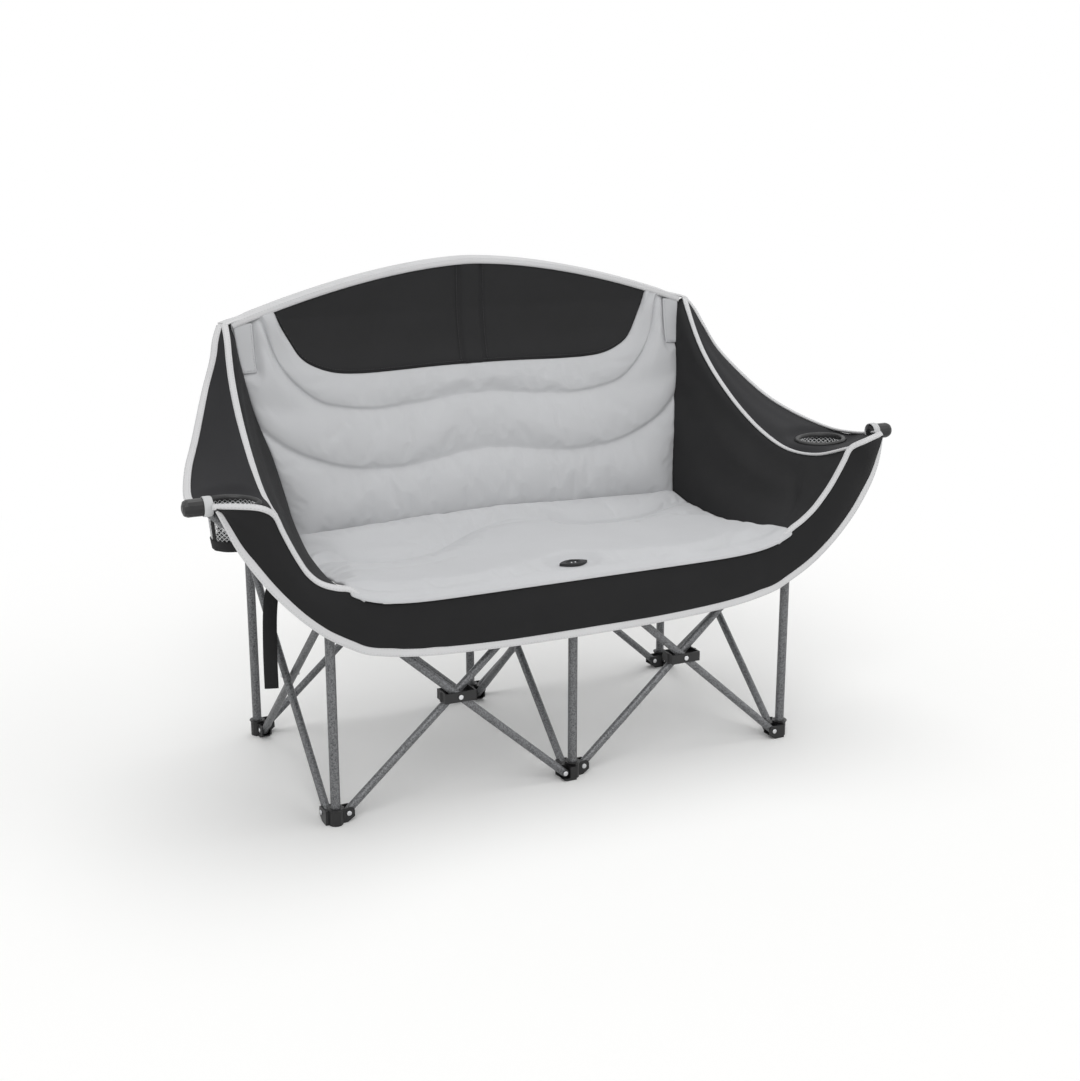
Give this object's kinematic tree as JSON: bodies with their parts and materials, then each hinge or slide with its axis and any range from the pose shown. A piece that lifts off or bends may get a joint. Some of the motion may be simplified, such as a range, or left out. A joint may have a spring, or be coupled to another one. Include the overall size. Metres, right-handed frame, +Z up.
{
  "type": "folding camp loveseat",
  "caption": "Folding two-seat camp chair: padded cloth seat, back and sagging arms with cup holders on a scissor-folding tube frame.",
  "frame": {"origin": "On the floor, under the middle of the overall width and depth of the opened seat", "axes": "+X to the right of a viewer in front of it, -Y out of its open front, +Z up"},
  "size_m": [1.544, 0.5974, 1.012],
  "materials": {
    "tube": "dark grey hammered paint",
    "slide_tube": "grey paint, smooth where it slides",
    "plastic": "black moulded plastic with steel rivets through it",
    "grey_cloth": "light grey padded polyester",
    "black_cloth": "black polyester",
    "mesh": "light grey mesh",
    "webbing": "black webbing",
    "grey_webbing": "light grey webbing and binding tape"
  },
  "bodies": {
    "front_middle_leg": {"front_middle_leg": "tube", "front_middle_foot": "plastic"},
    "front_left_long_diagonal": {"front_left_long_diagonal": "tube", "left_arm_tip_cap": "plastic", "left_arm_loop": "grey_webbing"},
    "front_right_long_diagonal": {"front_right_long_diagonal": "tube", "right_arm_tip_cap": "plastic", "right_arm_loop": "grey_webbing"},
    "front_left_short_diagonal": {"front_left_short_diagonal": "tube"},
    "front_right_short_diagonal": {"front_right_short_diagonal": "tube"},
    "front_left_leg": {"front_left_leg": "tube", "front_left_foot": "plastic"},
    "front_right_leg": {"front_right_leg": "tube", "front_right_foot": "plastic"},
    "front_middle_hub": {"front_middle_hub": "plastic", "front_middle_slide_tube": "slide_tube", "seat_pad": "grey_cloth", "seat_clamp_plate": "plastic", "front_apron": "black_cloth"},
    "front_left_hub": {"front_left_hub": "plastic", "front_left_slide_tube": "slide_tube", "left_cup_ring": "plastic", "left_cup_pouch": "mesh"},
    "front_right_hub": {"front_right_hub": "plastic", "front_right_slide_tube": "slide_tube", "right_cup_ring": "plastic", "right_cup_pouch": "mesh"},
    "front_left_crossing_bracket": {"front_left_crossing_bracket": "plastic"},
    "front_right_crossing_bracket": {"front_right_crossing_bracket": "plastic"},
    "left_side_cross_tube_a": {"left_side_cross_tube_a": "tube"},
    "left_side_cross_tube_b": {"left_side_cross_tube_b": "tube"},
    "back_left_post": {"back_left_post": "tube", "back_left_foot": "plastic", "left_side_panel": "black_cloth", "left_arm_top": "black_cloth", "carry_strap": "webbing"},
    "back_left_hub": {"back_left_hub": "plastic"},
    "right_side_cross_tube_a": {"right_side_cross_tube_a": "tube"},
    "right_side_cross_tube_b": {"right_side_cross_tube_b": "tube"},
    "back_right_post": {"back_right_post": "tube", "back_right_foot": "plastic", "right_side_panel": "black_cloth", "right_arm_top": "black_cloth"},
    "back_right_hub": {"back_right_hub": "plastic"},
    "middle_cross_tube_a": {"middle_cross_tube_a": "tube"},
    "middle_cross_tube_b": {"middle_cross_tube_b": "tube"},
    "back_middle_post": {"back_middle_post": "tube", "back_middle_foot": "plastic", "back_pad": "grey_cloth", "head_panel": "black_cloth", "rear_cover": "black_cloth", "back_top_binding": "grey_webbing"},
    "back_middle_hub": {"back_middle_hub": "plastic"},
    "back_left_cross_tube_a": {"back_left_cross_tube_a": "tube"},
    "back_left_cross_tube_b": {"back_left_cross_tube_b": "tube"},
    "back_right_cross_tube_a": {"back_right_cross_tube_a": "tube"},
    "back_right_cross_tube_b": {"back_right_cross_tube_b": "tube"}
  },
  "joints": [
    {"name": "frame_fold", "type": "hinge", "parent": "front_middle_leg", "child": "front_left_long_diagonal", "pos_m": [-0.026, -0.24202, 0.018], "axis": [0, 1, 0], "range_deg": [0, 40], "deforming": ["seat_pad", "back_pad", "head_panel", "rear_cover", "back_top_binding", "left_arm_top", "right_arm_top", "left_side_panel", "right_side_panel", "front_apron", "carry_strap", "left_arm_loop", "right_arm_loop"]},
    {"name": "right_long_diagonal_foot_pivot", "type": "hinge", "parent": "front_middle_leg", "child": "front_right_long_diagonal", "pos_m": [0.026, -0.22402, 0.018], "axis": [0, -1, 0], "range_deg": [0, 40]},
    {"name": "front_left_crossing_pivot", "type": "hinge", "parent": "front_left_long_diagonal", "child": "front_left_short_diagonal", "pos_m": [-0.255, -0.23302, 0.222], "axis": [0, -1, 0], "range_deg": [0, 80]},
    {"name": "front_right_crossing_pivot", "type": "hinge", "parent": "front_right_long_diagonal", "child": "front_right_short_diagonal", "pos_m": [0.255, -0.23302, 0.222], "axis": [0, 1, 0], "range_deg": [0, 80]},
    {"name": "front_left_foot_pivot", "type": "hinge", "parent": "front_left_short_diagonal", "child": "front_left_leg", "pos_m": [-0.484, -0.22402, 0.018], "axis": [0, 1, 0], "range_deg": [0, 40]},
    {"name": "front_right_foot_pivot", "type": "hinge", "parent": "front_right_short_diagonal", "child": "front_right_leg", "pos_m": [0.484, -0.24202, 0.018], "axis": [0, -1, 0], "range_deg": [0, 40]},
    {"name": "front_middle_hub_pivot", "type": "hinge", "parent": "front_left_short_diagonal", "child": "front_middle_hub", "pos_m": [-0.026, -0.22402, 0.426], "axis": [0, 1, 0], "range_deg": [0, 40]},
    {"name": "front_left_hub_pivot", "type": "hinge", "parent": "front_left_long_diagonal", "child": "front_left_hub", "pos_m": [-0.484, -0.24202, 0.426], "axis": [0, -1, 0], "range_deg": [0, 40]},
    {"name": "front_right_hub_pivot", "type": "hinge", "parent": "front_right_long_diagonal", "child": "front_right_hub", "pos_m": [0.484, -0.22402, 0.426], "axis": [0, 1, 0], "range_deg": [0, 40]},
    {"name": "front_left_bracket_pivot", "type": "hinge", "parent": "front_left_long_diagonal", "child": "front_left_crossing_bracket", "pos_m": [-0.255, -0.23302, 0.222], "axis": [0, -1, 0], "range_deg": [0, 40]},
    {"name": "front_right_bracket_pivot", "type": "hinge", "parent": "front_right_long_diagonal", "child": "front_right_crossing_bracket", "pos_m": [0.255, -0.23302, 0.222], "axis": [0, 1, 0], "range_deg": [0, 40]},
    {"name": "left_side_front_foot_pivot", "type": "hinge", "parent": "front_left_leg", "child": "left_side_cross_tube_a", "pos_m": [-0.519, -0.20702, 0.018], "axis": [1, 0, 0], "range_deg": [0, 40]},
    {"name": "left_side_crossing_pivot", "type": "hinge", "parent": "left_side_cross_tube_a", "child": "left_side_cross_tube_b", "pos_m": [-0.51, 0.02198, 0.222], "axis": [-1, 0, 0], "range_deg": [0, 80]},
    {"name": "left_side_back_foot_pivot", "type": "hinge", "parent": "left_side_cross_tube_b", "child": "back_left_post", "pos_m": [-0.501, 0.25098, 0.018], "axis": [1, 0, 0], "range_deg": [0, 40]},
    {"name": "left_side_back_hub_pivot", "type": "hinge", "parent": "left_side_cross_tube_a", "child": "back_left_hub", "pos_m": [-0.519, 0.25098, 0.426], "axis": [-1, 0, 0], "range_deg": [0, 40]},
    {"name": "right_side_front_foot_pivot", "type": "hinge", "parent": "front_right_leg", "child": "right_side_cross_tube_a", "pos_m": [0.501, -0.20702, 0.018], "axis": [1, 0, 0], "range_deg": [0, 40]},
    {"name": "right_side_crossing_pivot", "type": "hinge", "parent": "right_side_cross_tube_a", "child": "right_side_cross_tube_b", "pos_m": [0.51, 0.02198, 0.222], "axis": [-1, 0, 0], "range_deg": [0, 80]},
    {"name": "right_side_back_foot_pivot", "type": "hinge", "parent": "right_side_cross_tube_b", "child": "back_right_post", "pos_m": [0.519, 0.25098, 0.018], "axis": [1, 0, 0], "range_deg": [0, 40]},
    {"name": "right_side_back_hub_pivot", "type": "hinge", "parent": "right_side_cross_tube_a", "child": "back_right_hub", "pos_m": [0.501, 0.25098, 0.426], "axis": [-1, 0, 0], "range_deg": [0, 40]},
    {"name": "middle_front_foot_pivot", "type": "hinge", "parent": "front_middle_leg", "child": "middle_cross_tube_a", "pos_m": [-0.009, -0.20702, 0.018], "axis": [1, 0, 0], "range_deg": [0, 40]},
    {"name": "middle_crossing_pivot", "type": "hinge", "parent": "middle_cross_tube_a", "child": "middle_cross_tube_b", "pos_m": [0, 0.02198, 0.222], "axis": [-1, 0, 0], "range_deg": [0, 80]},
    {"name": "middle_back_foot_pivot", "type": "hinge", "parent": "middle_cross_tube_b", "child": "back_middle_post", "pos_m": [0.009, 0.25098, 0.018], "axis": [1, 0, 0], "range_deg": [0, 40]},
    {"name": "middle_back_hub_pivot", "type": "hinge", "parent": "middle_cross_tube_a", "child": "back_middle_hub", "pos_m": [-0.009, 0.25098, 0.426], "axis": [-1, 0, 0], "range_deg": [0, 40]},
    {"name": "back_left_foot_pivot", "type": "hinge", "parent": "back_middle_post", "child": "back_left_cross_tube_a", "pos_m": [-0.026, 0.26798, 0.018], "axis": [0, 1, 0], "range_deg": [0, 40]},
    {"name": "back_left_crossing_pivot", "type": "hinge", "parent": "back_left_cross_tube_a", "child": "back_left_cross_tube_b", "pos_m": [-0.255, 0.27698, 0.222], "axis": [0, -1, 0], "range_deg": [0, 80]},
    {"name": "back_right_foot_pivot", "type": "hinge", "parent": "back_middle_post", "child": "back_right_cross_tube_a", "pos_m": [0.026, 0.28598, 0.018], "axis": [0, -1, 0], "range_deg": [0, 40]},
    {"name": "back_right_crossing_pivot", "type": "hinge", "parent": "back_right_cross_tube_a", "child": "back_right_cross_tube_b", "pos_m": [0.255, 0.27698, 0.222], "axis": [0, 1, 0], "range_deg": [0, 80]}
  ],
  "couplings": [
    {"joint": "right_long_diagonal_foot_pivot", "follows": "frame_fold", "ratio": 1},
    {"joint": "front_left_crossing_pivot", "follows": "frame_fold", "ratio": 2},
    {"joint": "front_right_crossing_pivot", "follows": "frame_fold", "ratio": 2},
    {"joint": "front_left_foot_pivot", "follows": "frame_fold", "ratio": 1},
    {"joint": "front_right_foot_pivot", "follows": "frame_fold", "ratio": 1},
    {"joint": "front_middle_hub_pivot", "follows": "frame_fold", "ratio": 1},
    {"joint": "front_left_hub_pivot", "follows": "frame_fold", "ratio": 1},
    {"joint": "front_right_hub_pivot", "follows": "frame_fold", "ratio": 1},
    {"joint": "front_left_bracket_pivot", "follows": "frame_fold", "ratio": 1},
    {"joint": "front_right_bracket_pivot", "follows": "frame_fold", "ratio": 1},
    {"joint": "left_side_front_foot_pivot", "follows": "frame_fold", "ratio": 1},
    {"joint": "left_side_crossing_pivot", "follows": "frame_fold", "ratio": 2},
    {"joint": "left_side_back_foot_pivot", "follows": "frame_fold", "ratio": 1},
    {"joint": "left_side_back_hub_pivot", "follows": "frame_fold", "ratio": 1},
    {"joint": "right_side_front_foot_pivot", "follows": "frame_fold", "ratio": 1},
    {"joint": "right_side_crossing_pivot", "follows": "frame_fold", "ratio": 2},
    {"joint": "right_side_back_foot_pivot", "follows": "frame_fold", "ratio": 1},
    {"joint": "right_side_back_hub_pivot", "follows": "frame_fold", "ratio": 1},
    {"joint": "middle_front_foot_pivot", "follows": "frame_fold", "ratio": 1},
    {"joint": "middle_crossing_pivot", "follows": "frame_fold", "ratio": 2},
    {"joint": "middle_back_foot_pivot", "follows": "frame_fold", "ratio": 1},
    {"joint": "middle_back_hub_pivot", "follows": "frame_fold", "ratio": 1},
    {"joint": "back_left_foot_pivot", "follows": "frame_fold", "ratio": 1},
    {"joint": "back_left_crossing_pivot", "follows": "frame_fold", "ratio": 2},
    {"joint": "back_right_foot_pivot", "follows": "frame_fold", "ratio": 1},
    {"joint": "back_right_crossing_pivot", "follows": "frame_fold", "ratio": 2}
  ]
}
